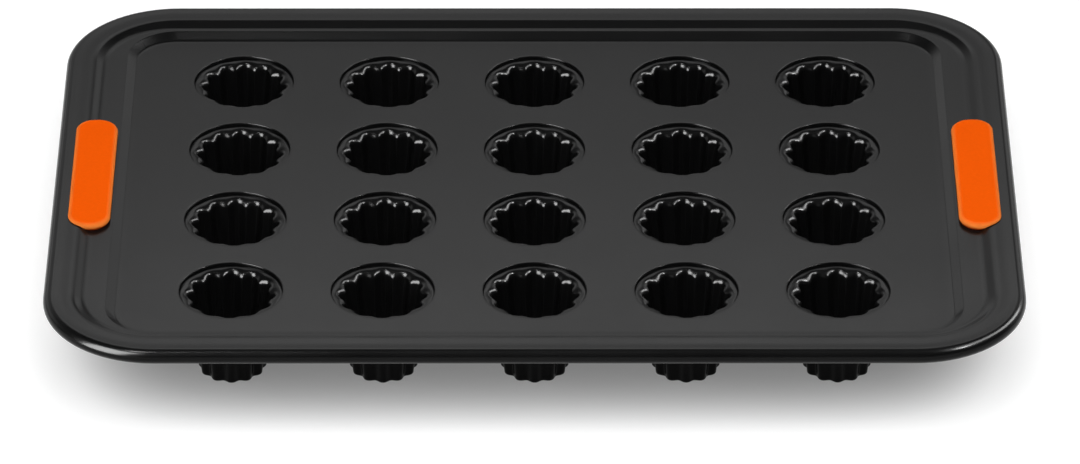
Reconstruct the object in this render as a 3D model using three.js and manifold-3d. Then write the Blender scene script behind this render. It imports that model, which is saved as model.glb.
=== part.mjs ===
// Mini canele pan: a pressed steel tray with a wired rim, twenty fluted cups crimped into it
// and a silicone grip on each short side.
// Millimetres, +Z up. The cups stand on z = 0 and the tray is centred on the origin.
// X runs along the length, from grip to grip, and Y along the width.
import * as THREE from 'three';
import { mergeVertices } from 'three/addons/utils/BufferGeometryUtils.js';
import Module from 'manifold-3d';

// Cup pattern
const cupColumns = 5;
const cupRows = 4;
const columnWebWidth = 19.6; // sheet left between two holes along X
const rowWebWidth = 13.6; // sheet left between two holes along Y
const endMarginWidth = 25.5; // last hole to the end of the flat panel
const sideMarginWidth = 12.8;

// Cup
const fluteCount = 12;
const fluteDepth = 2.1; // lobe to valley
const lobeHalfAngle = 6; // degrees, half the flat crest of a lobe
const cupHeight = 34.9; // foot to the top of the mouth ring
const cupWallThickness = 0.6;
const footLobeRadius = 13.3; // inside the lobes, at the foot
const mouthLobeRadius = 17.9; // inside the lobes, below the flare
const mouthFlareWidth = 0.7; // how far the lobes open into the ring
const valleyFlareWidth = 1.5; // how far the valleys open into the ring
const flareHeight = 0.6;
const footBevelWidth = 0.8;
const ringWidth = 2.6; // flat ring from the flare to the collar

// Sheet and crimp
const sheetThickness = 0.8;
const collarDepth = 1.4; // panel top to the end of the collar
const seamGap = 0.2;

// Tray border, from the outer edge inwards
const beadRadius = 3.1;
const beadRiseHeight = 0.5; // top of the bead above the flange
const curlEndAngle = 315; // degrees round the wire, counted from its inner side
const wireRadius = 1.8;
const flangeWidth = 12;
const upperStepWidth = 4.2;
const upperStepHeight = 2;
const endLedgeWidth = 9.5; // between the steps on the short sides
const sideLedgeWidth = 2.2; // between the steps on the long sides
const lowerStepWidth = 3.6;
const lowerStepHeight = 3;
const cornerRadius = 46.5;

// Silicone grips
const gripLength = 88;
const gripWidth = 17.5;
const gripInsetWidth = 7.1; // outer edge of the tray to the grip
const gripEndFlatWidth = 1.5; // straight part of an end, between its rounded corners
const gripTopHeight = 1.2; // above the flange
const gripUnderDepth = 1.6; // below the sheet
const gripEdgeRadius = 0.9;
const gripOverlapWidth = 2.4; // of the pad over the edge of its slot
const gripGap = 0.3;

// How far a cutting body runs past what it cuts
const cutClearance = 1;

// Facets
const holeSegments = 16;
const cornerSegments = 5;
const curlStepAngle = 45; // degrees
const wireSides = 6;

const holeRadius = mouthLobeRadius + mouthFlareWidth + ringWidth;
const pitchX = 2 * holeRadius + columnWebWidth;
const pitchY = 2 * holeRadius + rowWebWidth;
const borderX = flangeWidth + upperStepWidth + endLedgeWidth + lowerStepWidth;
const borderY = flangeWidth + upperStepWidth + sideLedgeWidth + lowerStepWidth;
const halfLength = ((cupColumns - 1) * pitchX) / 2 + holeRadius + endMarginWidth + borderX;
const halfWidth = ((cupRows - 1) * pitchY) / 2 + holeRadius + sideMarginWidth + borderY;
const panelTop = cupHeight + seamGap + collarDepth;
const ledgeTop = panelTop + lowerStepHeight;
const flangeTop = ledgeTop + upperStepHeight;
const beadCentre = flangeTop + beadRiseHeight - beadRadius;
const gripCentreX = halfLength - gripInsetWidth - gripWidth / 2;
const gripCornerRadius = (gripWidth - gripEndFlatWidth) / 2;
const slotWidth = gripWidth - 2 * gripOverlapWidth;
const slotLength = gripLength - 2 * gripOverlapWidth;
const slotRadius = gripCornerRadius - gripOverlapWidth;

const wasm = await Module();
wasm.setup();

const coating = { color: 0x3a3a3c, roughness: 0.4, metalness: 0.15 };
const cupCoating = { color: 0x2b2b2d, roughness: 0.38, metalness: 0.15 };
const silicone = { color: 0xee5a08, roughness: 0.6, metalness: 0 };
const bareSteel = { color: 0x9b9ea2, roughness: 0.35, metalness: 1 };

// Turns a closed surface into a solid for cutting and joining.
function solidFrom(geometry) {
  const surface = geometry.clone();
  surface.deleteAttribute('normal');
  surface.deleteAttribute('uv');
  const merged = mergeVertices(surface, 1e-4);
  const vertProperties = new Float32Array(merged.getAttribute('position').array);
  const triVerts = new Uint32Array(merged.getIndex().array);
  return new wasm.Manifold(new wasm.Mesh({ numProp: 3, vertProperties, triVerts }));
}

function geometryFrom(solid) {
  const mesh = solid.getMesh();
  const geometry = new THREE.BufferGeometry();
  geometry.setAttribute('position', new THREE.BufferAttribute(mesh.vertProperties, 3));
  geometry.setIndex(new THREE.BufferAttribute(mesh.triVerts, 1));
  geometry.computeVertexNormals();
  return geometry;
}

function namedMesh(name, geometry, finish) {
  const mesh = new THREE.Mesh(geometry, new THREE.MeshStandardMaterial(finish));
  mesh.name = name;
  return mesh;
}

// Joins rings, in order, into one closed surface. Neighbouring rings may differ in point count.
// An open stack gets a fan at each end, a looped one runs back into its first ring.
function loft(rings, looped) {
  const points = rings.flat();
  const starts = [];
  let used = 0;
  for (const ring of rings) {
    starts.push(used);
    used += ring.length;
  }
  const index = [];
  const bands = looped ? rings.length : rings.length - 1;
  for (let band = 0; band < bands; band += 1) {
    const after = (band + 1) % rings.length;
    stitch(index, starts[band], rings[band].length, starts[after], rings[after].length);
  }
  if (!looped) {
    const last = rings.length - 1;
    points.push(middleOf(rings[0]), middleOf(rings[last]));
    for (let i = 0; i < rings[0].length; i += 1) {
      index.push(used, (i + 1) % rings[0].length, i);
    }
    for (let i = 0; i < rings[last].length; i += 1) {
      index.push(used + 1, starts[last] + i, starts[last] + ((i + 1) % rings[last].length));
    }
  }
  const geometry = new THREE.BufferGeometry().setFromPoints(points);
  geometry.setIndex(index);
  return geometry;
}

// Fills the band between two rings, stepping along whichever ring is behind.
function stitch(index, lowerStart, lowerCount, upperStart, upperCount) {
  let lower = 0;
  let upper = 0;
  while (lower < lowerCount || upper < upperCount) {
    const lowerPoint = lowerStart + (lower % lowerCount);
    const upperPoint = upperStart + (upper % upperCount);
    if ((lower + 1) / lowerCount <= (upper + 1) / upperCount) {
      lower += 1;
      index.push(lowerPoint, lowerStart + (lower % lowerCount), upperPoint);
    } else {
      upper += 1;
      index.push(lowerPoint, upperStart + (upper % upperCount), upperPoint);
    }
  }
}

function middleOf(ring) {
  const sum = new THREE.Vector3();
  for (const point of ring) {
    sum.add(point);
  }
  return sum.divideScalar(ring.length);
}

// One outline of the tray, set in from its outer edge by a distance on each pair of sides.
function trayOutline(insetX, insetY, z) {
  const radius = cornerRadius - Math.max(insetX, insetY);
  const cornerX = halfLength - insetX - radius;
  const cornerY = halfWidth - insetY - radius;
  const ring = [];
  for (let corner = 0; corner < 4; corner += 1) {
    const signX = corner === 0 || corner === 3 ? 1 : -1;
    const signY = corner < 2 ? 1 : -1;
    for (let step = 0; step <= cornerSegments; step += 1) {
      const angle = ((corner + step / cornerSegments) * Math.PI) / 2;
      const x = signX * cornerX + radius * Math.cos(angle);
      const y = signY * cornerY + radius * Math.sin(angle);
      ring.push(new THREE.Vector3(x, y, z));
    }
  }
  return ring;
}

// Outlines of one face of the curl, from the flange over the top and round to its free end.
function curlOutlines(radius, flangeFace) {
  const angles = [Math.asin((flangeFace - beadCentre) / radius)];
  for (let degrees = 90; degrees <= curlEndAngle; degrees += curlStepAngle) {
    angles.push(THREE.MathUtils.degToRad(degrees));
  }
  return angles.map((angle) => {
    const inset = beadRadius + radius * Math.cos(angle);
    return trayOutline(inset, inset, beadCentre + radius * Math.sin(angle));
  });
}

// Outlines of one face of the two steps, from the panel up to the flange.
function stepOutlines(below) {
  const ledgeStart = flangeWidth + upperStepWidth;
  return [
    trayOutline(borderX, borderY, panelTop - below),
    trayOutline(ledgeStart + endLedgeWidth, ledgeStart + sideLedgeWidth, ledgeTop - below),
    trayOutline(ledgeStart, ledgeStart, ledgeTop - below),
    trayOutline(flangeWidth, flangeWidth, flangeTop - below),
  ];
}

function cylinderBetween(radius, bottom, top) {
  const geometry = new THREE.CylinderGeometry(radius, radius, top - bottom, holeSegments);
  geometry.rotateX(Math.PI / 2);
  geometry.translate(0, 0, (bottom + top) / 2);
  return solidFrom(geometry);
}

// A rounded rectangle extruded upwards, with its top and bottom edges bevelled by edgeRound.
function padBetween(width, length, radius, bottom, top, edgeRound) {
  const halfX = width / 2 - edgeRound;
  const halfY = length / 2 - edgeRound;
  const corner = radius - edgeRound;
  const shape = new THREE.Shape();
  shape.absarc(halfX - corner, halfY - corner, corner, 0, Math.PI / 2);
  shape.absarc(corner - halfX, halfY - corner, corner, Math.PI / 2, Math.PI);
  shape.absarc(corner - halfX, corner - halfY, corner, Math.PI, Math.PI * 1.5);
  shape.absarc(halfX - corner, corner - halfY, corner, Math.PI * 1.5, Math.PI * 2);
  const geometry = new THREE.ExtrudeGeometry(shape, {
    depth: top - bottom - 2 * edgeRound,
    curveSegments: 3,
    bevelEnabled: edgeRound > 0,
    bevelSize: edgeRound,
    bevelThickness: edgeRound,
    bevelSegments: 1,
  });
  geometry.translate(0, 0, bottom + edgeRound);
  return solidFrom(geometry);
}

function cupPlaces() {
  const places = [];
  for (let row = 0; row < cupRows; row += 1) {
    for (let column = 0; column < cupColumns; column += 1) {
      const x = (column - (cupColumns - 1) / 2) * pitchX;
      const y = ((cupRows - 1) / 2 - row) * pitchY;
      places.push({ row: row + 1, column: column + 1, x, y });
    }
  }
  return places;
}

function traySheet() {
  const under = stepOutlines(sheetThickness);
  const curlInside = curlOutlines(beadRadius - sheetThickness, flangeTop - sheetThickness);
  const curlOutside = curlOutlines(beadRadius, flangeTop).reverse();
  const upper = stepOutlines(0).reverse();
  let sheet = solidFrom(loft([...under, ...curlInside, ...curlOutside, ...upper], false));

  const collarRadius = holeRadius + sheetThickness;
  const collar = cylinderBetween(collarRadius, panelTop - collarDepth, panelTop - sheetThickness / 2);
  const boreEnd = panelTop - collarDepth - cutClearance;
  const bore = cylinderBetween(holeRadius, boreEnd, panelTop + cutClearance);
  for (const place of cupPlaces()) {
    const spot = [place.x, place.y, 0];
    sheet = sheet.add(collar.translate(spot)).subtract(bore.translate(spot));
  }

  const slotTop = flangeTop + cutClearance;
  const slot = padBetween(slotWidth, slotLength, slotRadius, panelTop, slotTop, 0);
  for (const side of [-1, 1]) {
    sheet = sheet.subtract(slot.translate([side * gripCentreX, 0, 0]));
  }
  return geometryFrom(sheet);
}

function rimWire() {
  const rings = [];
  for (let side = 0; side < wireSides; side += 1) {
    const angle = (side * 2 * Math.PI) / wireSides;
    const inset = beadRadius - wireRadius * Math.cos(angle);
    rings.push(trayOutline(inset, inset, beadCentre + wireRadius * Math.sin(angle)));
  }
  return loft(rings, true);
}

// One fluted outline: each lobe has a short flat crest and each valley a single point.
function flutedOutline(lobeRadius, valleyRadius, z) {
  const pitch = (2 * Math.PI) / fluteCount;
  const crest = THREE.MathUtils.degToRad(lobeHalfAngle);
  const ring = [];
  for (let flute = 0; flute < fluteCount; flute += 1) {
    const middle = flute * pitch;
    const spots = [
      [middle - crest, lobeRadius],
      [middle + crest, lobeRadius],
      [middle + pitch / 2, valleyRadius],
    ];
    for (const [angle, radius] of spots) {
      ring.push(new THREE.Vector3(radius * Math.cos(angle), radius * Math.sin(angle), z));
    }
  }
  return ring;
}

// The tapered fluted form at a height, grown outwards by an offset.
function taperedOutline(z, offset) {
  const share = (z - cupWallThickness) / (cupHeight - cupWallThickness);
  const lobe = THREE.MathUtils.lerp(footLobeRadius, mouthLobeRadius, share) + offset;
  return flutedOutline(lobe, lobe - fluteDepth, z);
}

function circleOutline(radius, z) {
  const ring = [];
  for (let i = 0; i < holeSegments; i += 1) {
    const angle = (i * 2 * Math.PI) / holeSegments;
    ring.push(new THREE.Vector3(radius * Math.cos(angle), radius * Math.sin(angle), z));
  }
  return ring;
}

// A fluted cup hanging from a flat ring whose outer lip turns up round the collar.
// The outlines run from the foot up the outside, over the lip and down the inside.
function cup() {
  const lipInside = holeRadius + sheetThickness + seamGap;
  const lipTop = panelTop - sheetThickness - seamGap;
  const ringUnder = cupHeight - cupWallThickness;
  const mouthValley = mouthLobeRadius - fluteDepth + valleyFlareWidth;
  return loft([
    taperedOutline(0, cupWallThickness - footBevelWidth),
    taperedOutline(footBevelWidth, cupWallThickness),
    taperedOutline(ringUnder, cupWallThickness),
    circleOutline(lipInside + cupWallThickness, ringUnder),
    circleOutline(lipInside, lipTop),
    circleOutline(lipInside, cupHeight),
    flutedOutline(mouthLobeRadius + mouthFlareWidth, mouthValley, cupHeight),
    taperedOutline(cupHeight - flareHeight, 0),
    taperedOutline(cupWallThickness, 0),
  ], false);
}

// The section of the sheet under the right grip, thickened by the gap on both faces.
function sheetSection() {
  const stepStart = halfLength - flangeWidth;
  const stepEnd = stepStart - upperStepWidth;
  const outerEnd = halfLength - gripInsetWidth + cutClearance;
  const innerEnd = outerEnd - gripWidth - 2 * cutClearance;
  const above = gripGap;
  const below = -sheetThickness - gripGap;
  const shape = new THREE.Shape();
  shape.moveTo(outerEnd, flangeTop + above);
  shape.lineTo(stepStart, flangeTop + above);
  shape.lineTo(stepEnd, ledgeTop + above);
  shape.lineTo(innerEnd, ledgeTop + above);
  shape.lineTo(innerEnd, ledgeTop + below);
  shape.lineTo(stepEnd, ledgeTop + below);
  shape.lineTo(stepStart, flangeTop + below);
  shape.lineTo(outerEnd, flangeTop + below);
  shape.closePath();
  const depth = gripLength + 2 * cutClearance;
  const geometry = new THREE.ExtrudeGeometry(shape, { depth, bevelEnabled: false });
  geometry.rotateX(Math.PI / 2);
  geometry.translate(0, depth / 2, 0);
  return solidFrom(geometry);
}

// A pad on both faces of the sheet, joined through the slot.
function grip() {
  const top = flangeTop + gripTopHeight;
  const bottom = ledgeTop - sheetThickness - gripUnderDepth;
  const pad = padBetween(gripWidth, gripLength, gripCornerRadius, bottom, top, gripEdgeRadius);
  const plugWidth = slotWidth - 2 * gripGap;
  const plugLength = slotLength - 2 * gripGap;
  const plugRadius = slotRadius - gripGap;
  const plugBottom = bottom - cutClearance;
  const plugTop = top + cutClearance;
  const plug = padBetween(plugWidth, plugLength, plugRadius, plugBottom, plugTop, 0);
  const spot = [gripCentreX, 0, 0];
  const groove = sheetSection().subtract(plug.translate(spot));
  return geometryFrom(pad.translate(spot).subtract(groove));
}

const pan = new THREE.Group();
pan.name = 'mini_canele_pan';
pan.add(namedMesh('tray_sheet', traySheet(), coating));
pan.add(namedMesh('rim_wire', rimWire(), bareSteel));

const cupGeometry = cup();
for (const place of cupPlaces()) {
  const mesh = namedMesh('cup_row' + place.row + '_col' + place.column, cupGeometry, cupCoating);
  mesh.position.set(place.x, place.y, 0);
  pan.add(mesh);
}

const gripGeometry = grip();
pan.add(namedMesh('grip_right', gripGeometry, silicone));
const gripLeft = namedMesh('grip_left', gripGeometry, silicone);
gripLeft.rotation.z = Math.PI;
pan.add(gripLeft);

export default pan;
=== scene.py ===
import bpy
import bmesh
from math import sin, cos, tan, atan2, pi, radians
from mathutils import Matrix, Vector


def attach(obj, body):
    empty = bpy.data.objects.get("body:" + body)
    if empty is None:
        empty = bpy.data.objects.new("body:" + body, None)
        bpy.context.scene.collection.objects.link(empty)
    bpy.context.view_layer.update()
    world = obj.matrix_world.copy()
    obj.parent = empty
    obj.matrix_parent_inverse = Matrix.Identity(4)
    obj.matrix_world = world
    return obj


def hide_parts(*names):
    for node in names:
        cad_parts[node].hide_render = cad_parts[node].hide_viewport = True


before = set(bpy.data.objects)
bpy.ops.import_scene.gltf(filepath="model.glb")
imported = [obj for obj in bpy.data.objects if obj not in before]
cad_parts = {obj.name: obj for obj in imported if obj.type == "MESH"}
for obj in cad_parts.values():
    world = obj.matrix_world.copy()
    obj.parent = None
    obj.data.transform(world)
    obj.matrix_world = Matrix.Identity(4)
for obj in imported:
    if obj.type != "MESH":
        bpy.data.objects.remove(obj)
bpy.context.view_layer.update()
mm = 0.001
print("frame loaded:", len(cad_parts), "nodes")

pan = {  # shared sizes in millimetres
    "length": 400.0,
    "width": 280.0,
    "panelTop": 36.5,
    "columns": 5,
    "rows": 4,
    "pitchX": 62.0,
    "pitchY": 56.0,
    "sheet": 0.8,
    "holeRadius": 21.2,
}


def cupPlaces():
    for row in range(pan["rows"]):
        for column in range(pan["columns"]):
            x = (column - (pan["columns"] - 1) / 2) * pan["pitchX"]
            y = ((pan["rows"] - 1) / 2 - row) * pan["pitchY"]
            yield row + 1, column + 1, x, y


def roundedLine(points, radii, steps):  # a bent line in section, each bend replaced by an arc
    line = []
    for number, point in enumerate(points):
        radius = radii[number]
        if radius == 0:
            line.append(tuple(point))
            continue
        corner = Vector(point)
        back = (Vector(points[number - 1]) - corner).normalized()
        ahead = (Vector(points[number + 1]) - corner).normalized()
        half = back.angle(ahead) / 2
        centre = corner + (back + ahead).normalized() * (radius / sin(half))
        first = corner + back * (radius / tan(half)) - centre
        last = corner + ahead * (radius / tan(half)) - centre
        start = atan2(first.y, first.x)
        turn = (atan2(last.y, last.x) - start + pi) % (2 * pi) - pi
        for step in range(steps + 1):
            angle = start + turn * step / steps
            line.append((centre.x + radius * cos(angle), centre.y + radius * sin(angle)))
    return line


def pieceFrom(name, mesh, material, nodes):
    for face in mesh.polygons:
        face.use_smooth = True
    piece = bpy.data.objects.new(name, mesh)
    bpy.context.collection.objects.link(piece)
    mesh.materials.clear()
    mesh.materials.append(material)
    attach(piece, "root")
    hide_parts(*nodes)
    return piece


def takeMesh(holder, name):  # the evaluated result as a plain mesh, and the holder removed
    graph = bpy.context.evaluated_depsgraph_get()
    mesh = bpy.data.meshes.new_from_object(holder.evaluated_get(graph), depsgraph=graph)
    mesh.name = name
    spare = holder.data
    holder.modifiers.clear()
    bpy.data.objects.remove(holder)
    bpy.data.meshes.remove(spare)
    return mesh


# finishes

def newFinish(name):
    material = bpy.data.materials.new(name)
    material.use_nodes = True
    return material, material.node_tree.nodes, material.node_tree.links


def noiseOn(nodes, links, scale, detail):  # noise in the piece's own space
    place = nodes.new("ShaderNodeTexCoord")
    noise = nodes.new("ShaderNodeTexNoise")
    noise.inputs["Scale"].default_value = scale
    noise.inputs["Detail"].default_value = detail
    links.new(place.outputs["Object"], noise.inputs["Vector"])
    return noise.outputs["Fac"]


def unevenTone(nodes, links, noise, colour, spread):  # a colour that drifts with the noise
    tone = nodes.new("ShaderNodeMix")
    tone.data_type = "RGBA"
    for socket, share in zip((6, 7), spread):
        tone.inputs[socket].default_value = (*[share * part for part in colour], 1)
    links.new(noise, tone.inputs[0])
    return tone.outputs[2]


def unevenRough(nodes, links, noise, limits, noiseRange=(0, 1)):
    rough = nodes.new("ShaderNodeMapRange")
    rough.inputs["From Min"].default_value = noiseRange[0]
    rough.inputs["From Max"].default_value = noiseRange[1]
    rough.inputs["To Min"].default_value = limits[0]
    rough.inputs["To Max"].default_value = limits[1]
    links.new(noise, rough.inputs["Value"])
    links.new(rough.outputs["Result"], nodes["Principled BSDF"].inputs["Roughness"])


def fineBump(nodes, links, noise, strength, depth):
    bump = nodes.new("ShaderNodeBump")
    bump.inputs["Strength"].default_value = strength
    bump.inputs["Distance"].default_value = depth
    links.new(noise, bump.inputs["Height"])
    links.new(bump.outputs["Normal"], nodes["Principled BSDF"].inputs["Normal"])


coatingLook = {
    "trayColour": (0.0036, 0.0036, 0.0037),
    "cupColour": (0.0030, 0.0030, 0.0031),
    "toneSpread": (0.88, 1.12),
    "shine": 0.10,
    "rough": (0.19, 0.24),
    "grainScale": 2600.0,  # per metre, a fine sprayed grain
    "grainDetail": 2.0,
    "grainDepth": 0.00002,
    "grainStrength": 0.35,
    "cloudScale": 22.0,  # soft clouds in the tone and the shine
    "cloudDetail": 3.0,
    "cloudRange": (0.3, 0.7),
}


def coatingMaterial(name, colour):
    material, nodes, links = newFinish(name)
    shader = nodes["Principled BSDF"]
    shader.inputs["Specular IOR Level"].default_value = coatingLook["shine"]
    grain = noiseOn(nodes, links, coatingLook["grainScale"], coatingLook["grainDetail"])
    cloud = noiseOn(nodes, links, coatingLook["cloudScale"], coatingLook["cloudDetail"])
    tone = unevenTone(nodes, links, cloud, colour, coatingLook["toneSpread"])
    links.new(tone, shader.inputs["Base Color"])
    unevenRough(nodes, links, cloud, coatingLook["rough"], coatingLook["cloudRange"])
    fineBump(nodes, links, grain, coatingLook["grainStrength"], coatingLook["grainDepth"])
    return material


siliconeLook = {
    "colour": (0.80, 0.091, 0.0009),
    "sheenColour": (0.83, 0.215, 0.036),  # painted sheen, lighter where the edge is rounded
    "toneSpread": (0.94, 1.05),
    "shine": 0.004,
    "rough": (0.69, 0.81),
    "grainScale": 900.0,
    "grainDetail": 3.0,
    "grainDepth": 0.00003,
    "grainStrength": 0.25,
}


def siliconeMaterial():
    material, nodes, links = newFinish("gripSilicone")
    shader = nodes["Principled BSDF"]
    shader.inputs["Specular IOR Level"].default_value = siliconeLook["shine"]
    grain = noiseOn(nodes, links, siliconeLook["grainScale"], siliconeLook["grainDetail"])
    tone = unevenTone(nodes, links, grain, siliconeLook["colour"], siliconeLook["toneSpread"])
    # painted sheen: the base colour turns lighter where the pad's edge is rounded
    share = nodes.new("ShaderNodeAttribute")
    share.attribute_name = "sheenEdgeShare"
    sheenMix = nodes.new("ShaderNodeMix")
    sheenMix.data_type = "RGBA"
    sheenMix.inputs[7].default_value = (*siliconeLook["sheenColour"], 1)
    links.new(share.outputs["Fac"], sheenMix.inputs[0])
    links.new(tone, sheenMix.inputs[6])
    links.new(sheenMix.outputs[2], shader.inputs["Base Color"])
    unevenRough(nodes, links, grain, siliconeLook["rough"])
    fineBump(nodes, links, grain, siliconeLook["grainStrength"], siliconeLook["grainDepth"])
    return material


wireLook = {
    "colour": (0.46, 0.47, 0.49),
    "toneSpread": (0.8, 1.15),
    "rough": (0.24, 0.44),
    "streakScale": 600.0,
    "streakDetail": 2.0,
}


def wireMaterial():
    material, nodes, links = newFinish("wireSteel")
    shader = nodes["Principled BSDF"]
    shader.inputs["Metallic"].default_value = 1.0
    streak = noiseOn(nodes, links, wireLook["streakScale"], wireLook["streakDetail"])
    tone = unevenTone(nodes, links, streak, wireLook["colour"], wireLook["toneSpread"])
    links.new(tone, shader.inputs["Base Color"])
    unevenRough(nodes, links, streak, wireLook["rough"])
    return material


trayCoating = coatingMaterial("trayCoating", coatingLook["trayColour"])
cupCoating = coatingMaterial("cupCoating", coatingLook["cupColour"])
gripSilicone = siliconeMaterial()
wireSteel = wireMaterial()
print("finishes made")


# fluted cups: one section turned round the cup's axis and pushed in between the lobes

cup = {
    "flutes": 12,
    "fluteDepth": 2.1,  # lobe to valley
    "fluteSharpness": 1.15,  # above 1 the lobes are broader than the ridges
    "height": 34.9,
    "wall": 0.6,
    "footLobe": 13.3,
    "mouthLobe": 17.9,
    "footRound": 1.0,
    "footShare": 0.65,  # part of the flute depth left at the foot
    "footMargin": 0.5,  # a ring just inside the foot's rounding
    "marginShare": 0.624,
    "shareHeight": 14.0,  # where the flutes reach their full depth
    "floorRound": 1.3,
    "mouthRound": 2.2,
    "mouthDrop": 2.6,
    "throatRound": 1.3,  # the same bend from outside, under the ring
    "throatShare": 0.4,
    "ringRise": 0.4,  # inside the collar the ring is pressed up
    "ringFall": 0.2,  # and dips towards the mouth
    "ringShare": 0.25,  # part of the flute depth left where the mouth meets the ring
    "ringEdge": (0.3, 0.05, 0.15),  # (outwards, up, share) from the mouth's rounding to the ring
    "underEdge": (0.3, 0.2),  # (outwards, share) from the throat to the ring's underside
    "underReach": 1.3,  # from that underside's outer end to the outside of the lip
    "pressInset": 1.07,  # from the lip to where the ring is pressed up
    "pressPath": ((0, 0), (0.02, 0.25), (0.05, 0.8), (0.13, 1)),  # (inwards, part of the rise) there
    "lipInside": 22.2,
    "lipTop": 35.5,
    "lipBend": 0.55,
    "lipCrease": 0.2,
    "creaseReach": 0.9,  # flat ring inside that crease
    "underFloor": ((0, 0), (3, 0), (6.5, 0.08), (9.5, 0.33)),  # (radius, share of the flute depth)
    "insideFloor": ((10.5, 0.58), (8, 0.33), (5, 0.08), (2.5, 0), (0, 0)),
    "stepsAround": 192,
    "seamReach": 0.005,
}


def lobeRadius(z):
    share = (z - cup["wall"]) / (cup["height"] - cup["wall"])
    return cup["footLobe"] + (cup["mouthLobe"] - cup["footLobe"]) * share


def shareAt(z):
    return min(1, cup["footShare"] + (1 - cup["footShare"]) * z / cup["shareHeight"])


def cupSection():  # (radius, height, share of the flute depth), foot, outside, lip, inside
    wall = cup["wall"]
    top = cup["height"]
    line = [(radius, 0, share) for radius, share in cup["underFloor"]]
    foot = lobeRadius(cup["footRound"]) + wall
    line.append((foot - cup["footRound"] - cup["footMargin"], 0, cup["marginShare"]))
    for step in range(7):
        angle = step * pi / 12
        radius = foot - cup["footRound"] * (1 - sin(angle))
        line.append((radius, cup["footRound"] * (1 - cos(angle)), cup["footShare"]))
    throat = cup["throatRound"]
    wallTop = top - wall - throat
    for step in range(1, 6):
        z = cup["footRound"] + (wallTop - cup["footRound"]) * step / 5
        line.append((lobeRadius(z) + wall, z, shareAt(z)))
    edge = lobeRadius(wallTop) + wall
    for step in range(1, 7):  # outside of the mouth, up to the ring's underside
        angle = step * pi / 12
        radius = edge + throat * (1 - cos(angle))
        share = 1 - (1 - cup["throatShare"]) * sin(angle) ** 2
        line.append((radius, wallTop + throat * sin(angle), share))
    lipIn = cup["lipInside"]
    lipOut = lipIn + wall
    lipRound = wall / 2
    lipStart = cup["lipTop"] - lipRound
    under = top - wall
    outwards, share = cup["underEdge"]
    line.append((edge + throat + outwards, under, share))
    bend = [(lipOut - cup["underReach"], under), (lipOut, under), (lipOut, lipStart)]
    line += [(r, z, 0) for r, z in roundedLine(bend, [0, cup["lipBend"], 0], 5)]
    for step in range(1, 8):  # rounded top of the lip
        angle = step * pi / 8
        line.append((lipIn + lipRound * (1 + cos(angle)), lipStart + lipRound * sin(angle), 0))
    bend = [(lipIn, lipStart), (lipIn, top), (lipIn - cup["creaseReach"], top)]
    line += [(r, z, 0) for r, z in roundedLine(bend, [0, cup["lipCrease"], 0], 4)]
    mouth = lobeRadius(top - cup["mouthDrop"])
    edge = mouth + cup["mouthRound"]
    press = lipIn - cup["pressInset"]
    line += [(press - inwards, top + cup["ringRise"] * part, 0) for inwards, part in cup["pressPath"]]
    low = top + cup["ringRise"] - cup["ringFall"]
    outwards, upwards, share = cup["ringEdge"]
    line.append((edge + outwards, low + upwards, share))
    for step in range(0, 9):  # rounded mouth
        angle = step * pi / 16
        radius = mouth + cup["mouthRound"] * (1 - sin(angle))
        z = low - (low - top + cup["mouthDrop"]) * (1 - cos(angle))
        line.append((radius, z, cup["ringShare"] + (1 - cup["ringShare"]) * sin(angle) ** 2))
    floorTop = wall + cup["floorRound"]
    for step in range(1, 7):
        z = top - cup["mouthDrop"] + (floorTop - top + cup["mouthDrop"]) * step / 6
        line.append((lobeRadius(z), z, shareAt(z)))
    for step in range(1, 6):
        angle = step * pi / 10
        radius = lobeRadius(floorTop) - cup["floorRound"] * (1 - cos(angle))
        line.append((radius, floorTop - cup["floorRound"] * sin(angle), cup["footShare"]))
    line += [(radius, wall, share) for radius, share in cup["insideFloor"]]
    return line


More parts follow.
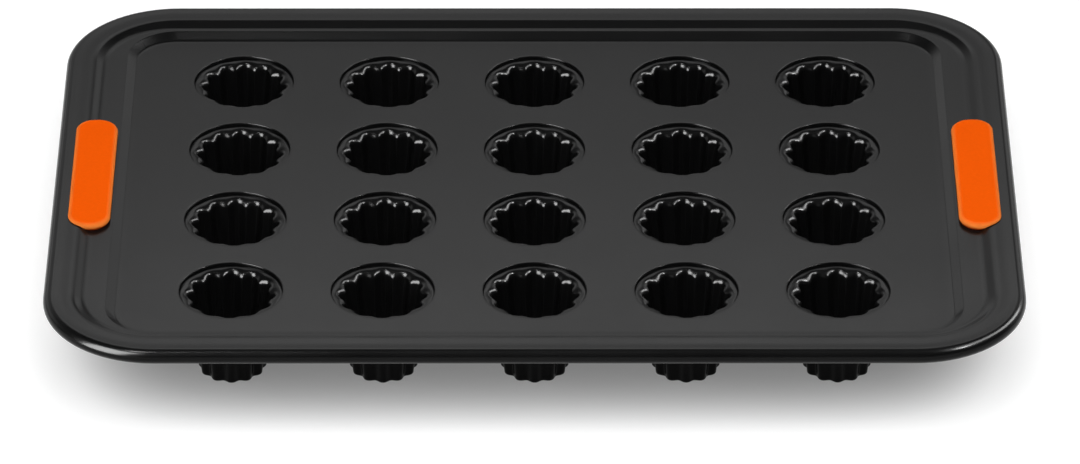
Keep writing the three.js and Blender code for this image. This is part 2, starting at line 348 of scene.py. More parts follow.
def flutedTree():
    tree = bpy.data.node_groups.new("flutedTurning", "GeometryNodeTree")
    face = tree.interface
    face.new_socket("Section", in_out="INPUT", socket_type="NodeSocketGeometry")
    sockets = {}
    for label, kind in (
        ("Flutes", "NodeSocketInt"),
        ("Flute Depth", "NodeSocketFloat"),
        ("Flute Sharpness", "NodeSocketFloat"),
        ("Steps Around", "NodeSocketInt"),
        ("Place", "NodeSocketVector"),
        ("Finish", "NodeSocketMaterial"),
    ):
        sockets[label] = face.new_socket(label, in_out="INPUT", socket_type=kind).identifier
    face.new_socket("Cup", in_out="OUTPUT", socket_type="NodeSocketGeometry")
    nodes = tree.nodes
    links = tree.links
    given = nodes.new("NodeGroupInput")
    result = nodes.new("NodeGroupOutput")

    def sums(operation, first, second=None):
        node = nodes.new("ShaderNodeMath")
        node.operation = operation
        for socket, value in zip(node.inputs, (first, second)):
            if value is None:
                continue
            if isinstance(value, (int, float)):
                socket.default_value = value
            else:
                links.new(value, socket)
        return node.outputs[0]

    def sampled(dataType, field, index):
        node = nodes.new("GeometryNodeSampleIndex")
        node.data_type = dataType
        node.domain = "POINT"
        links.new(given.outputs["Section"], node.inputs["Geometry"])
        links.new(field, node.inputs["Value"])
        links.new(index, node.inputs["Index"])
        return node.outputs[0]

    size = nodes.new("GeometryNodeAttributeDomainSize")
    size.component = "MESH"
    links.new(given.outputs["Section"], size.inputs[0])
    count = size.outputs["Point Count"]
    grid = nodes.new("GeometryNodeMeshGrid")
    links.new(sums("ADD", given.outputs["Steps Around"], 1), grid.inputs["Vertices X"])
    links.new(count, grid.inputs["Vertices Y"])
    index = nodes.new("GeometryNodeInputIndex").outputs[0]
    along = sums("MODULO", index, count)
    around = sums("FLOOR", sums("DIVIDE", index, count))
    angle = sums("MULTIPLY", sums("DIVIDE", around, given.outputs["Steps Around"]), 2 * pi)
    spot = nodes.new("ShaderNodeSeparateXYZ")
    position = nodes.new("GeometryNodeInputPosition").outputs[0]
    links.new(sampled("FLOAT_VECTOR", position, along), spot.inputs[0])
    shareField = nodes.new("GeometryNodeInputNamedAttribute")
    shareField.data_type = "FLOAT"
    shareField.inputs["Name"].default_value = "fluteShare"
    share = sampled("FLOAT", shareField.outputs[0], along)
    turns = sums("MULTIPLY", angle, given.outputs["Flutes"])
    wave = sums("MULTIPLY", sums("SUBTRACT", 1, sums("COSINE", turns)), 0.5)
    wave = sums("POWER", wave, given.outputs["Flute Sharpness"])
    push = sums("MULTIPLY", sums("MULTIPLY", wave, share), given.outputs["Flute Depth"])
    radius = sums("SUBTRACT", spot.outputs["X"], push)
    point = nodes.new("ShaderNodeCombineXYZ")
    links.new(sums("MULTIPLY", radius, sums("COSINE", angle)), point.inputs["X"])
    links.new(sums("MULTIPLY", radius, sums("SINE", angle)), point.inputs["Y"])
    links.new(spot.outputs["Z"], point.inputs["Z"])
    shift = nodes.new("ShaderNodeVectorMath")
    links.new(point.outputs[0], shift.inputs[0])
    links.new(given.outputs["Place"], shift.inputs[1])
    bend = nodes.new("GeometryNodeSetPosition")
    links.new(grid.outputs["Mesh"], bend.inputs["Geometry"])
    links.new(shift.outputs[0], bend.inputs["Position"])
    close = nodes.new("GeometryNodeMergeByDistance")  # closes the seam and both poles
    close.inputs["Distance"].default_value = cup["seamReach"] * mm
    links.new(bend.outputs[0], close.inputs["Geometry"])
    smooth = nodes.new("GeometryNodeSetShadeSmooth")
    links.new(close.outputs[0], smooth.inputs[0])
    realize = nodes.new("GeometryNodeRealizeInstances")
    links.new(smooth.outputs[0], realize.inputs[0])
    paint = nodes.new("GeometryNodeSetMaterial")
    links.new(realize.outputs[0], paint.inputs["Geometry"])
    links.new(given.outputs["Finish"], paint.inputs["Material"])
    links.new(paint.outputs[0], result.inputs[0])
    return tree, sockets


def sectionHolder(name, line):
    mesh = bpy.data.meshes.new(name)
    mesh.from_pydata([(r * mm, 0, z * mm) for r, z, share in line], [], [])
    field = mesh.attributes.new("fluteShare", "FLOAT", "POINT")
    for number, (r, z, share) in enumerate(line):
        field.data[number].value = share
    holder = bpy.data.objects.new(name, mesh)
    bpy.context.collection.objects.link(holder)
    return holder


cupTree, cupSockets = flutedTree()
cupLine = cupSection()
for row, column, x, y in cupPlaces():
    holder = sectionHolder("cupSection", cupLine)
    turning = holder.modifiers.new("turning", "NODES")
    turning.node_group = cupTree
    turning[cupSockets["Flutes"]] = cup["flutes"]
    turning[cupSockets["Flute Depth"]] = cup["fluteDepth"] * mm
    turning[cupSockets["Flute Sharpness"]] = cup["fluteSharpness"]
    turning[cupSockets["Steps Around"]] = cup["stepsAround"]
    turning[cupSockets["Place"]] = (x * mm, y * mm, 0.0)
    turning[cupSockets["Finish"]] = cupCoating
    cupName = f"flutedCup_r{row}c{column}"
    cupMesh = takeMesh(holder, cupName)
    pieceFrom(cupName, cupMesh, cupCoating, [f"cup_row{row}_col{column}"])
print("cups turned:", len(cupLine), "section points")


# tray: a pressed sheet with a curled edge, two steps, collared holes and grip slots

tray = {
    "cornerRadius": 46.5,
    "bead": 3.3,
    "beadRise": 0.25,
    "beadStart": 84.0,  # degrees round the bead where it leaves the flange
    "beadValley": 4.4,  # the soft valley between them
    "curlEnd": 315.0,
    "flange": 12.0,
    "upperRun": 4.2,
    "upperDrop": 2.0,
    "endLedge": 9.5,
    "sideLedge": 2.2,
    "lowerRun": 3.6,
    "lowerDrop": 3.0,
    "endBends": (1.2, 0.8, 8.0),  # radii at the panel, the ledge and the upper step
    "sideBends": (3.4, 1.1, 3.1),
    "panelMargin": 3.2,  # flat strips inside the lower step and outside the upper one
    "flangeMargin": 2.5,
    "collarDepth": 1.4,
    "collarMargins": (1.3, 0.8),  # flat rings round the collar, on top and underneath
    "collarBends": (0.35, 0.14, 0.14, 0.25),  # its radii from the panel's top to its underside
    "bendSteps": 7,
    "valleySteps": 6,
    "curlSteps": 24,
    "collarSteps": 6,
    "holeSteps": 96,
    "cornerSteps": 20,
    "runSteps": 10,
    "sharpAngle": 35.0,  # reached at the slots' edges and the curl's free end
    "slack": 0.001,  # points nearer than twice this are joined
}
ledgeTop = pan["panelTop"] + tray["lowerDrop"]
flangeTop = ledgeTop + tray["upperDrop"]
beadCentre = flangeTop + tray["beadRise"] - tray["bead"]


def trayOutline(end, side):  # one ring, from (inset, height) at the short ends and at the long sides
    insetX, endZ = end
    insetY, sideZ = side
    radius = tray["cornerRadius"] - max(insetX, insetY)
    cornerX = pan["length"] / 2 - insetX - radius
    cornerY = pan["width"] / 2 - insetY - radius
    corners = [(cornerX, cornerY), (-cornerX, cornerY), (-cornerX, -cornerY), (cornerX, -cornerY)]
    ring = []
    for number, (x, y) in enumerate(corners):
        for step in range(tray["cornerSteps"] + 1):
            angle = (number + step / tray["cornerSteps"]) * pi / 2
            z = endZ * cos(angle) ** 2 + sideZ * sin(angle) ** 2
            ring.append((x + radius * cos(angle), y + radius * sin(angle), z))
        angle = (number + 1) * pi / 2
        nextX, nextY = corners[(number + 1) % 4]
        for step in range(1, tray["runSteps"]):
            part = step / tray["runSteps"]
            ring.append((
                x + (nextX - x) * part + radius * cos(angle),
                y + (nextY - y) * part + radius * sin(angle),
                z,
            ))
    return ring


def borderLine(ledge, bends, below):  # (inset, height) of one face from inside the panel to the flange
    stepOne = tray["flange"] + tray["upperRun"]
    inner = stepOne + ledge + tray["lowerRun"]
    points = [
        (inner + tray["panelMargin"], pan["panelTop"] - below),
        (inner, pan["panelTop"] - below),
        (stepOne + ledge, ledgeTop - below),
        (stepOne, ledgeTop - below),
        (tray["flange"], flangeTop - below),
        (tray["flange"] - tray["flangeMargin"], flangeTop - below),
    ]
    panelBend, ledgeBend, upperBend = bends
    radii = [0, panelBend, ledgeBend, upperBend, upperBend, 0]
    return roundedLine(points, radii, tray["bendSteps"])


def borderOutlines(below):
    ends = borderLine(tray["endLedge"], tray["endBends"], below)
    sides = borderLine(tray["sideLedge"], tray["sideBends"], below)
    return [trayOutline(end, side) for end, side in zip(ends, sides)]


def curlLine(radius, flangeFace):  # (inset, height) from the flange over the wire to the free end
    start = radians(tray["beadStart"])
    end = radians(tray["curlEnd"])
    reach = tray["bead"] + radius * cos(start)
    rise = beadCentre + radius * sin(start) - flangeFace
    points = []
    for step in range(tray["valleySteps"]):
        part = step / tray["valleySteps"]
        points.append((reach + tray["beadValley"] * (1 - part), flangeFace + rise * part ** 2))
    for step in range(tray["curlSteps"] + 1):
        angle = start + (end - start) * step / tray["curlSteps"]
        points.append((tray["bead"] + radius * cos(angle), beadCentre + radius * sin(angle)))
    return points


def collarLine():  # (radius, height) from the panel's top round the collar to its underside
    hole = pan["holeRadius"]
    top = pan["panelTop"]
    end = top - tray["collarDepth"]
    under = top - pan["sheet"]
    outer = hole + pan["sheet"]
    topMargin, underMargin = tray["collarMargins"]
    points = [
        (hole + topMargin, top),
        (hole, top),
        (hole, end),
        (outer, end),
        (outer, under),
        (outer + underMargin, under),
    ]
    return roundedLine(points, [0, *tray["collarBends"], 0], tray["collarSteps"])


def trayMesh():
    shell = bmesh.new()

    def addRing(points):
        return [shell.verts.new((x * mm, y * mm, z * mm)) for x, y, z in points]

    def addBand(lower, upper):
        count = len(lower)
        for number in range(count):
            ahead = (number + 1) % count
            shell.faces.new((lower[number], lower[ahead], upper[ahead], upper[number]))

    def addPatch(lower, upper):  # two rings of any counts round the middle of the panel
        lower = sorted(lower, key=lambda vert: atan2(vert.co.y, vert.co.x))
        upper = sorted(upper, key=lambda vert: atan2(vert.co.y, vert.co.x))
        first = 0
        second = 0
        while first < len(lower) or second < len(upper):
            a = lower[first % len(lower)]
            b = upper[second % len(upper)]
            nextA = lower[(first + 1) % len(lower)]
            nextB = upper[(second + 1) % len(upper)]
            turnA = atan2(nextA.co.y, nextA.co.x) + (2 * pi if first + 1 >= len(lower) else 0)
            turnB = atan2(nextB.co.y, nextB.co.x) + (2 * pi if second + 1 >= len(upper) else 0)
            if first < len(lower) and (turnA <= turnB or second >= len(upper)):
                shell.faces.new((a, nextA, b))
                first += 1
            else:
                shell.faces.new((a, nextB, b))
                second += 1

    upper = borderOutlines(0)
    curlOut = [trayOutline(spot, spot) for spot in curlLine(tray["bead"], flangeTop)]
    underCurl = curlLine(tray["bead"] - pan["sheet"], flangeTop - pan["sheet"])
    curlIn = [trayOutline(spot, spot) for spot in underCurl]
    lower = borderOutlines(pan["sheet"])
    rings = [addRing(points) for points in upper + curlOut + curlIn[::-1] + lower[::-1]]
    for inner, outer in zip(rings, rings[1:]):
        addBand(inner, outer)

    collar = collarLine()
    halfX = pan["pitchX"] / 2
    halfY = pan["pitchY"] / 2
    quarter = tray["holeSteps"] // 4
    edgeTop = []
    edgeUnder = []
    for row, column, x, y in cupPlaces():
        holeRings = []
        for radius, z in collar:
            ring = []
            for step in range(tray["holeSteps"]):
                angle = step * 2 * pi / tray["holeSteps"] - pi / 4
                ring.append((x + radius * cos(angle), y + radius * sin(angle), z))
            holeRings.append(addRing(ring))
        for outer, inner in zip(holeRings, holeRings[1:]):
            addBand(outer, inner)
        topFace = (pan["panelTop"], holeRings[0], edgeTop)
        underFace = (collar[-1][1], holeRings[-1], edgeUnder)
        for z, hole, store in (topFace, underFace):  # the rectangle of sheet round the hole
            cell = []
            for side, (alongX, alongY) in enumerate(((0, 1), (-1, 0), (0, -1), (1, 0))):
                startX = x + (halfX if side in (0, 1) else -halfX)
                startY = y + (halfY if side in (1, 2) else -halfY)
                for step in range(quarter):
                    part = 2 * step / quarter
                    cell.append((startX + alongX * halfX * part, startY + alongY * halfY * part, z))
            cell = addRing(cell)
            addBand(cell, hole)
            store += cell

    slack = tray["slack"] * mm
    reachX = halfX * pan["columns"] * mm - slack
    reachY = halfY * pan["rows"] * mm - slack
    for store, border in ((edgeTop, rings[0]), (edgeUnder, rings[-1])):
        rim = {}
        for vert in store:
            if abs(vert.co.x) >= reachX or abs(vert.co.y) >= reachY:
                rim.setdefault((round(vert.co.x, 6), round(vert.co.y, 6)), vert)
        addPatch(list(rim.values()), border)
    bmesh.ops.remove_doubles(shell, verts=shell.verts, dist=2 * slack)
    bmesh.ops.recalc_face_normals(shell, faces=shell.faces)
    openEdges = sum(1 for edge in shell.edges if len(edge.link_faces) != 2)
    print("tray shell:", len(shell.faces), "faces,", openEdges, "open edges")
    mesh = bpy.data.meshes.new("traySheet")
    shell.to_mesh(mesh)
    shell.free()
    return mesh


# silicone grips: a pad on each face of the sheet, joined through the slot

grip = {
    "length": 86.0,
    "width": 17.5,
    "inset": 7.1,
    "corner": 8.5,
    "proud": 1.2,
    "under": 1.6,
    "edgeRound": 1.9,
    "lowRound": 0.9,
    "overlap": 2.4,
    "gap": 0.08,
    "margin": 0.5,  # a flat strip inside both rounded edges
    "crown": (2.6, 0.03),  # the top swells a little further in
    "roundShare": 0.86,  # part of the edge's height that the large rounding takes
    "footShare": 0.4,  # how far the small rounding below it is drawn in, to its height
    "footLeast": 0.05,  # the edge ends at least so far above the sheet
    "footDrop": 1.0,  # and at most so far below the flange
    "draft": 0.55,  # how far the pad is drawn in where the sheet drops away below its edge
    "draftParts": (0.33, 0.67, 1),
    "sheenFade": 1.2,  # above 1 the painted sheen on the edge begins later
    "neckPlay": 0.2,
    "underLip": (0.1, 0.25),  # a small bevel below the sheet
    "slotReach": (0.6, 2.0),  # the slots are cut from above the panel to above the flange
    "endSteps": 14,
    "endRunSteps": 4,
    "sideSteps": 16,
}
gripMiddle = pan["length"] / 2 - grip["inset"] - grip["width"] / 2


def padOutline():  # points of the pad's outline with the way out at each
    corner = grip["corner"]
    cornerX = grip["width"] / 2 - corner
    cornerY = grip["length"] / 2 - corner
    corners = [(cornerX, cornerY), (-cornerX, cornerY), (-cornerX, -cornerY), (cornerX, -cornerY)]
    ring = []
    for number, (x, y) in enumerate(corners):
        for step in range(grip["endSteps"] + 1):
            angle = (number + step / grip["endSteps"]) * pi / 2
            ring.append((x + corner * cos(angle), y + corner * sin(angle), cos(angle), sin(angle)))
        nextX, nextY = corners[(number + 1) % 4]
        outX, outY = ring[-1][2:]
        steps = grip["sideSteps"] if number % 2 == 1 else grip["endRunSteps"]
        for step in range(1, steps):
            part = step / steps
            middleX = x + (nextX - x) * part + corner * outX
            middleY = y + (nextY - y) * part + corner * outY
            ring.append((middleX, middleY, outX, outY))
    return ring


sheetLine = borderLine(tray["endLedge"], tray["endBends"], 0)


def sheetTopAt(x):  # height of the sheet's top at a distance from the middle of the tray
    inset = pan["length"] / 2 - x
    for (innerInset, innerZ), (outerInset, outerZ) in zip(sheetLine, sheetLine[1:]):
        if outerInset <= inset <= innerInset:
            part = (inset - outerInset) / (innerInset - outerInset)
            return outerZ + (innerZ - outerZ) * part
    return flangeTop


def gripMesh(side):
    shell = bmesh.new()
    # each point carries its share of painted sheen for the silicone's colour
    sheenShares = shell.verts.layers.float.new("sheenEdgeShare")
    top = flangeTop + grip["proud"]
    bottom = ledgeTop - pan["sheet"] - grip["under"]
    lowRound = grip["lowRound"]

    def levelsAt(x):  # (inset, height, share of painted sheen) down the edge at x
        base = sheetTopAt(x) + grip["gap"]
        rim = max(base + grip["footLeast"], flangeTop - grip["footDrop"])
        wide = grip["edgeRound"]
        drop = (top - rim) * grip["roundShare"]
        crownInset, crownRise = grip["crown"]
        levels = [(wide + crownInset, top + crownRise, 0), (wide + grip["margin"], top, 0)]
        for step in range(9):
            angle = step * pi / 16
            paintedSheen = sin(angle) ** grip["sheenFade"]
            levels.append((wide * (1 - sin(angle)), top - drop * (1 - cos(angle)), paintedSheen))
        low = top - rim - drop
        foot = grip["footShare"] * low
        for step in range(1, 5):  # small rounding at the lower edge, fully painted with sheen
            angle = step * pi / 8
            levels.append((foot * (1 - cos(angle)), rim + low * (1 - sin(angle)), 1))
        for part in grip["draftParts"]:
            fall = (rim - base) * part
            levels.append((foot + grip["draft"] * fall, rim - fall, 0))
        return levels

    outline = [(x + gripMiddle, y, outX, outY) for x, y, outX, outY in padOutline()]
    edges = [levelsAt(x) for x, y, outX, outY in outline]
    rings = []

    def addRing(spots):  # (inset, height or offset from the sheet's top, share of painted sheen, whether an offset)
        ring = []
        for (x, y, outX, outY), (inset, z, paintedSheen, offset) in zip(outline, spots):
            x -= outX * inset
            y -= outY * inset
            height = sheetTopAt(x) + z if offset else z
            vert = shell.verts.new((side * x * mm, side * y * mm, height * mm))
            vert[sheenShares] = paintedSheen
            ring.append(vert)
        rings.append(ring)

    for level in range(len(edges[0])):
        addRing([(*edge[level], False) for edge in edges])
    neck = grip["overlap"] + grip["neckPlay"]
    under = -pan["sheet"] - grip["gap"]
    lipInset, lipDrop = grip["underLip"]
    for inset, offset in ((neck, grip["gap"]), (neck, under), (lipInset, under), (0, under - lipDrop)):
        addRing([(inset, offset, 0, True)] * len(outline))
    for step in range(9):
        angle = step * pi / 16
        inset = lowRound * (1 - cos(angle))
        addRing([(inset, bottom + lowRound * (1 - sin(angle)), 0, False)] * len(outline))
    addRing([(lowRound + grip["margin"], bottom, 0, False)] * len(outline))
    for upper, lower in zip(rings, rings[1:]):
        for number in range(len(upper)):
            ahead = (number + 1) % len(upper)
            shell.faces.new((lower[number], lower[ahead], upper[ahead], upper[number]))
    shell.faces.new(rings[0])
    shell.faces.new(rings[-1][::-1])
    bmesh.ops.recalc_face_normals(shell, faces=shell.faces)
    mesh = bpy.data.meshes.new("gripPad")
    shell.to_mesh(mesh)
    shell.free()
    return mesh


def slotCutter(side):
    cutter = bmesh.new()
    inset = grip["overlap"]
    slotLine = [(x - outX * inset, y - outY * inset) for x, y, outX, outY in padOutline()]
    rings = []
    abovePanel, aboveFlange = grip["slotReach"]
    for z in (pan["panelTop"] + abovePanel, flangeTop + aboveFlange):
        rings.append([
            cutter.verts.new((side * (x + gripMiddle) * mm, side * y * mm, z * mm))
            for x, y in slotLine
        ])
    low, high = rings
    for number in range(len(low)):
        ahead = (number + 1) % len(low)
        cutter.faces.new((low[number], low[ahead], high[ahead], high[number]))
    cutter.faces.new(low[::-1])
    cutter.faces.new(high)
    bmesh.ops.recalc_face_normals(cutter, faces=cutter.faces)
    mesh = bpy.data.meshes.new("slotCutter")
    cutter.to_mesh(mesh)
    cutter.free()
    holder = bpy.data.objects.new("slotCutter", mesh)
    bpy.context.collection.objects.link(holder)
    return holder


trayHolder = bpy.data.objects.new("trayHolder", trayMesh())
bpy.context.collection.objects.link(trayHolder)
cutters = [slotCutter(side) for side in (-1, 1)]
for cutter in cutters:
    cut = trayHolder.modifiers.new("slot", "BOOLEAN")
    cut.operation = "DIFFERENCE"
    cut.solver = "EXACT"
    cut.object = cutter
sheetMesh = takeMesh(trayHolder, "traySheet")
for cutter in cutters:
    spare = cutter.data
    bpy.data.objects.remove(cutter)
    bpy.data.meshes.remove(spare)
pieceFrom("traySheet", sheetMesh, trayCoating, ["tray_sheet"])
sheetMesh.set_sharp_from_angle(angle=radians(tray["sharpAngle"]))
print("tray pressed:", len(sheetMesh.polygons), "faces")

for side, node in ((1, "grip_right"), (-1, "grip_left")):
    pieceFrom("gripPad_" + node[5:], gripMesh(side), gripSilicone, [node])
print("grips moulded")


# rim wire: a round section carried along the bead

wire = {"radius": 1.8, "sides": 20}


def wireTree():
    tree = bpy.data.node_groups.new("wireAlongRim", "GeometryNodeTree")
    face = tree.interface
    face.new_socket("Path", in_out="INPUT", socket_type="NodeSocketGeometry")
    sockets = {}
    for label, kind in (
        ("Radius", "NodeSocketFloat"),
        ("Sides", "NodeSocketInt"),
        ("Finish", "NodeSocketMaterial"),
    ):
        sockets[label] = face.new_socket(label, in_out="INPUT", socket_type=kind).identifier
    face.new_socket("Wire", in_out="OUTPUT", socket_type="NodeSocketGeometry")
    nodes = tree.nodes
    links = tree.links
    given = nodes.new("NodeGroupInput")
    result = nodes.new("NodeGroupOutput")
    path = nodes.new("GeometryNodeMeshToCurve")
    links.new(given.outputs["Path"], path.inputs["Mesh"])
    section = nodes.new("GeometryNodeCurvePrimitiveCircle")
    links.new(given.outputs["Sides"], section.inputs["Resolution"])
    links.new(given.outputs["Radius"], section.inputs["Radius"])
    sweep = nodes.new("GeometryNodeCurveToMesh")
    links.new(path.outputs[0], sweep.inputs["Curve"])
    links.new(section.outputs[0], sweep.inputs["Profile Curve"])
    smooth = nodes.new("GeometryNodeSetShadeSmooth")
    links.new(sweep.outputs[0], smooth.inputs[0])
    realize = nodes.new("GeometryNodeRealizeInstances")
    links.new(smooth.outputs[0], realize.inputs[0])
    paint = nodes.new("GeometryNodeSetMaterial")
    links.new(realize.outputs[0], paint.inputs["Geometry"])
    links.new(given.outputs["Finish"], paint.inputs["Material"])
    links.new(paint.outputs[0], result.inputs[0])
    return tree, sockets


wirePath = trayOutline((tray["bead"], beadCentre), (tray["bead"], beadCentre))
pathMesh = bpy.data.meshes.new("wirePath")
pathMesh.from_pydata(
    [(x * mm, y * mm, z * mm) for x, y, z in wirePath],
    [(number, (number + 1) % len(wirePath)) for number in range(len(wirePath))],
    [],
)
wireHolder = bpy.data.objects.new("wirePath", pathMesh)
bpy.context.collection.objects.link(wireHolder)
ringTree, ringSockets = wireTree()
sweeping = wireHolder.modifiers.new("sweeping", "NODES")
sweeping.node_group = ringTree
sweeping[ringSockets["Radius"]] = wire["radius"] * mm
sweeping[ringSockets["Sides"]] = wire["sides"]
sweeping[ringSockets["Finish"]] = wireSteel
pieceFrom("rimWire", takeMesh(wireHolder, "rimWire"), wireSteel, ["rim_wire"])
print("rim wire laid")


# floor, light and camera

studio = {
    "floorReach": 6.0,
    "floorColour": 0.4,
    "glowWithPaintedShadow": (0.2, 0.7),  # glow dimmed under the tray as a painted shadow, full round it
    "paintedShadowReach": (0.1976, 0.139),  # half sizes of the painted shadow under the tray
    "paintedShadowStart": 0.118,  # where the glow begins to grow, from 0 in the middle to 1 at those sizes
    "ceiling": 0.03,
    "overhead": 0.35,
    "overheadBand": (0.86, 0.97),  # bands are parts of a direction of length 1
    "horizon": 0.3,
    "horizonBand": (0.1, 0.3),
    "backBand": (0.1, 0.6),
    "screenFoot": (0.05, 0.14),
    "screenSplit": (0.44, 0.5),
    "screenTop": (0.52, 0.72),
    "lowScreens": (  # (place from left to right, brightness) of the screens behind the tray
        (-0.55, 1.6),
        (-0.45, 1.6),
        (-0.4, 1.1),
        (-0.36, 0.8),
        (-0.32, 1.1),
        (-0.25, 1.2),
        (-0.1, 1.0),
        (0, 1.2),
        (0.06, 1.02),
        (0.14, 0.15),
        (0.24, 0.15),
        (0.27, 1.75),
        (0.41, 1.75),
        (0.45, 1.45),
        (0.55, 1.45),
    ),
    "highScreens": (  # and of those above them
        (-0.55, 0.5),
        (-0.45, 0.8),
        (-0.25, 1.2),
        (-0.1, 1.0),
        (0, 1.2),
        (0.1, 1.0),
        (0.25, 1.2),
        (0.45, 0.8),
        (0.55, 0.5),
    ),
}


def makeFloor():
    mesh = bpy.data.meshes.new("floor")
    far = studio["floorReach"]
    corners = [(-far, -far, 0), (far, -far, 0), (far, far, 0), (-far, far, 0)]
    mesh.from_pydata(corners, [], [(0, 1, 2, 3)])
    floor = bpy.data.objects.new("floor", mesh)
    bpy.context.collection.objects.link(floor)
    material, nodes, links = newFinish("paleFloor")
    nodes.clear()
    out = nodes.new("ShaderNodeOutputMaterial")
    matt = nodes.new("ShaderNodeBsdfDiffuse")
    matt.inputs["Color"].default_value = (*[studio["floorColour"]] * 3, 1)
    glow = nodes.new("ShaderNodeEmission")
    glow.inputs["Color"].default_value = (1, 1, 1, 1)
    ray = nodes.new("ShaderNodeLightPath")
    bounced = nodes.new("ShaderNodeMath")
    bounced.operation = "MAXIMUM"
    links.new(ray.outputs["Is Glossy Ray"], bounced.inputs[0])
    links.new(ray.outputs["Is Transmission Ray"], bounced.inputs[1])
    seen = nodes.new("ShaderNodeMath")
    seen.operation = "MAXIMUM"
    links.new(ray.outputs["Is Camera Ray"], seen.inputs[0])
    links.new(bounced.outputs[0], seen.inputs[1])
    place = nodes.new("ShaderNodeTexCoord")
    scaled = nodes.new("ShaderNodeVectorMath")
    scaled.operation = "DIVIDE"
    scaled.inputs[1].default_value = (*studio["paintedShadowReach"], 1)
    links.new(place.outputs["Object"], scaled.inputs[0])
    power = scaled.outputs[0]
    for turn in range(2):  # high powers give the painted shadow square corners
        times = nodes.new("ShaderNodeVectorMath")
        times.operation = "MULTIPLY"
        links.new(power, times.inputs[0])
        links.new(power, times.inputs[1])
        power = times.outputs[0]
    parts = nodes.new("ShaderNodeSeparateXYZ")
    links.new(power, parts.inputs[0])
    away = nodes.new("ShaderNodeMath")
    away.operation = "MULTIPLY_ADD"
    links.new(parts.outputs["X"], away.inputs[0])
    links.new(parts.outputs["X"], away.inputs[1])
    links.new(parts.outputs["Y"], away.inputs[2])
    # painted shadow: the floor's glow is dimmer under the tray and grows to full round it
    spread = nodes.new("ShaderNodeMapRange")
    spread.interpolation_type = "SMOOTHSTEP"
    spread.inputs["From Min"].default_value = studio["paintedShadowStart"]
    spread.inputs["To Min"].default_value = studio["glowWithPaintedShadow"][0]
    spread.inputs["To Max"].default_value = studio["glowWithPaintedShadow"][1]
    links.new(away.outputs[0], spread.inputs["Value"])
    level = nodes.new("ShaderNodeMath")
    level.operation = "MULTIPLY"
    links.new(spread.outputs["Result"], level.inputs[1])
    links.new(seen.outputs[0], level.inputs[0])
    links.new(level.outputs[0], glow.inputs["Strength"])
    both = nodes.new("ShaderNodeAddShader")
    links.new(matt.outputs[0], both.inputs[0])
    links.new(glow.outputs[0], both.inputs[1])
    links.new(both.outputs[0], out.inputs["Surface"])
    mesh.materials.append(material)


def makeWorld():  # a dim horizon, pale screens behind the tray and a faint glow in a dark ceiling
    world = bpy.data.worlds.new("studioWorld")
    bpy.context.scene.world = world
    world.use_nodes = True
    nodes = world.node_tree.nodes
    links = world.node_tree.links
    nodes.clear()
    out = nodes.new("ShaderNodeOutputWorld")
    light = nodes.new("ShaderNodeBackground")
    place = nodes.new("ShaderNodeTexCoord")
    part = nodes.new("ShaderNodeSeparateXYZ")
    links.new(place.outputs["Generated"], part.inputs[0])

    def ramp(source, band, toLow, toHigh):
        node = nodes.new("ShaderNodeMapRange")
        node.interpolation_type = "SMOOTHSTEP"
        links.new(source, node.inputs["Value"])
        node.inputs["From Min"].default_value = band[0]
        node.inputs["From Max"].default_value = band[1]
        node.inputs["To Min"].default_value = toLow
        node.inputs["To Max"].default_value = toHigh
        return node.outputs["Result"]

    def sums(operation, first, second):
        node = nodes.new("ShaderNodeMath")
        node.operation = operation
        links.new(first, node.inputs[0])
        links.new(second, node.inputs[1])
        return node.outputs[0]

    height = part.outputs["Z"]
    horizon = ramp(height, studio["horizonBand"], studio["horizon"], 0)
    overhead = ramp(height, studio["overheadBand"], studio["ceiling"], studio["overhead"])
    across = nodes.new("ShaderNodeMapRange")
    across.inputs["From Min"].default_value = -1
    links.new(part.outputs["X"], across.inputs["Value"])
    screens = nodes.new("ShaderNodeMix")
    links.new(ramp(height, studio["screenSplit"], 0, 1), screens.inputs[0])
    for socket, profile in ((2, "lowScreens"), (3, "highScreens")):
        bands = nodes.new("ShaderNodeValToRGB")
        stops = bands.color_ramp.elements
        stops.remove(stops[1])
        stops[0].position = 0
        for x, bright in studio[profile]:
            stops.new((x + 1) / 2).color = (bright, bright, bright, 1)
        stops.remove(stops[0])
        links.new(across.outputs["Result"], bands.inputs["Fac"])
        links.new(bands.outputs["Color"], screens.inputs[socket])
    cove = screens.outputs[0]
    for edge in (  # the screens fade out forwards, upwards and near the floor
        ramp(part.outputs["Y"], studio["backBand"], 0, 1),
        ramp(height, studio["screenTop"], 1, 0),
        ramp(height, studio["screenFoot"], 0, 1),
    ):
        cove = sums("MULTIPLY", cove, edge)
    level = sums("MAXIMUM", sums("MAXIMUM", horizon, cove), overhead)
    links.new(level, light.inputs["Strength"])
    links.new(light.outputs[0], out.inputs["Surface"])


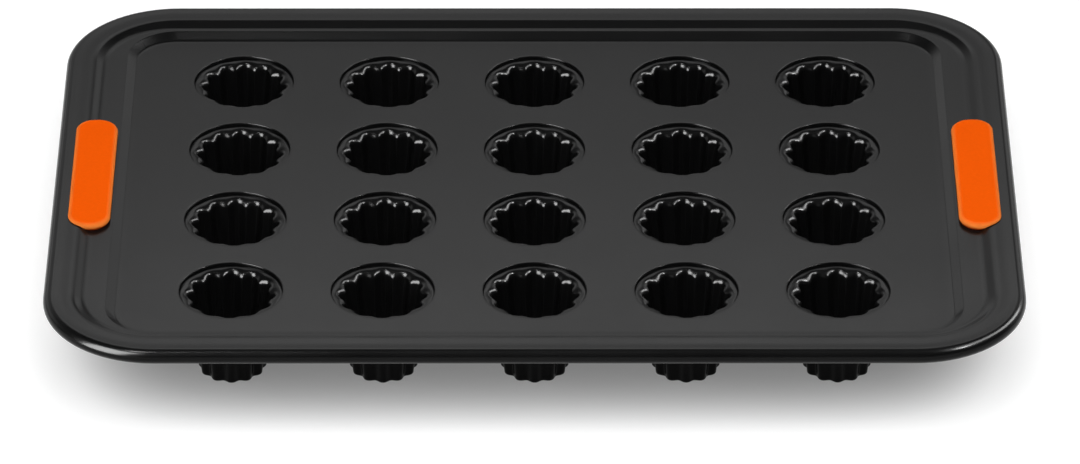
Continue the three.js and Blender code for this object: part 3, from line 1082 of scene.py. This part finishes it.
lampAim = (0.0, 0.0, 0.03)
lamps = {
    "topSoftbox": {
        "place": (0.0, -0.75, 1.25),
        "along": (1, 0, 0),
        "sizes": (0.9, 1.5),
        "power": 25.0,
        "lights": "matt",  # leaves no reflection
    },
    "backSoftbox": {
        "place": (0.0, 1.25, 1.3),
        "along": (1, 0, 0),
        "sizes": (0.7, 0.8),
        "power": 3.85,
        "lights": "all",
    },
    "leftStrip": {
        "place": (-0.92, -0.74, 0.54),
        "along": (0.18, 0.08, 0.42),
        "sizes": (1.20, 0.78),
        "power": 158.0,
        "lights": "gloss",  # leaves only reflections
    },
    "highLeft": {
        "place": (-0.40, -0.38, 1.18),
        "along": (1, 0, 0),
        "sizes": (0.14, 0.14),
        "power": 8.0,
        "lights": "gloss",
    },
    "highRight": {
        "place": (0.84, -0.42, 1.0),
        "along": (1, 0, 0),
        "sizes": (0.16, 0.16),
        "power": 20.0,
        "lights": "gloss",
    },
    "rightStrip": {
        "place": (0.85, 0.22, 0.84),
        "along": (0.19, 1.1, -0.50),
        "sizes": (1.25, 0.36),
        "power": 34.0,
        "lights": "gloss",
    },
}


def softbox(name, lamp):
    light = bpy.data.lights.new(name, "AREA")
    light.shape = "RECTANGLE"
    light.size, light.size_y = lamp["sizes"]
    light.energy = lamp["power"]
    holder = bpy.data.objects.new(name, light)
    bpy.context.collection.objects.link(holder)
    back = (Vector(lamp["place"]) - Vector(lampAim)).normalized()
    across = back.cross(Vector(lamp["along"])).normalized()
    turn = Matrix((across.cross(back), across, back)).transposed()  # long side along the given line
    holder.matrix_world = Matrix.Translation(lamp["place"]) @ turn.to_4x4()
    holder.visible_glossy = lamp["lights"] != "matt"
    holder.visible_diffuse = lamp["lights"] != "gloss"


makeFloor()
makeWorld()
for name, lamp in lamps.items():
    softbox(name, lamp)
print("lit by", len(lamps), "lamps")

view = {
    "elevation": 31.19,
    "distance": 3.172,
    "focalPixels": 7597.0,
    "target": (0.0, 0.0, 0.0365),
    "targetPixel": (534.6, 183.3),  # where the middle of the panel lies in the picture
    "picture": (1080, 464),
    "sensor": 36.0,
    "farEnd": 50.0,
}


def makeCamera():
    lens = bpy.data.cameras.new("camera")
    lens.sensor_width = view["sensor"]
    lens.lens = view["focalPixels"] * view["sensor"] / view["picture"][0]
    lens.clip_end = view["farEnd"]
    holder = bpy.data.objects.new("camera", lens)
    bpy.context.collection.objects.link(holder)
    tilt = radians(view["elevation"])
    ahead = Vector((0, cos(tilt), -sin(tilt)))
    upward = Vector((0, sin(tilt), cos(tilt)))
    place = Vector(view["target"]) - ahead * view["distance"]
    metresPerPixel = view["distance"] / view["focalPixels"]
    offRight = (view["picture"][0] / 2 - view["targetPixel"][0]) * metresPerPixel
    offDown = (view["picture"][1] / 2 - view["targetPixel"][1]) * metresPerPixel
    aim = Vector(view["target"]) + Vector((offRight, 0, 0)) - upward * offDown
    holder.location = place
    holder.rotation_euler = (aim - place).to_track_quat("-Z", "Y").to_euler()
    bpy.context.scene.camera = holder


makeCamera()
bpy.context.scene.view_settings.view_transform = "Standard"
print("studio set")
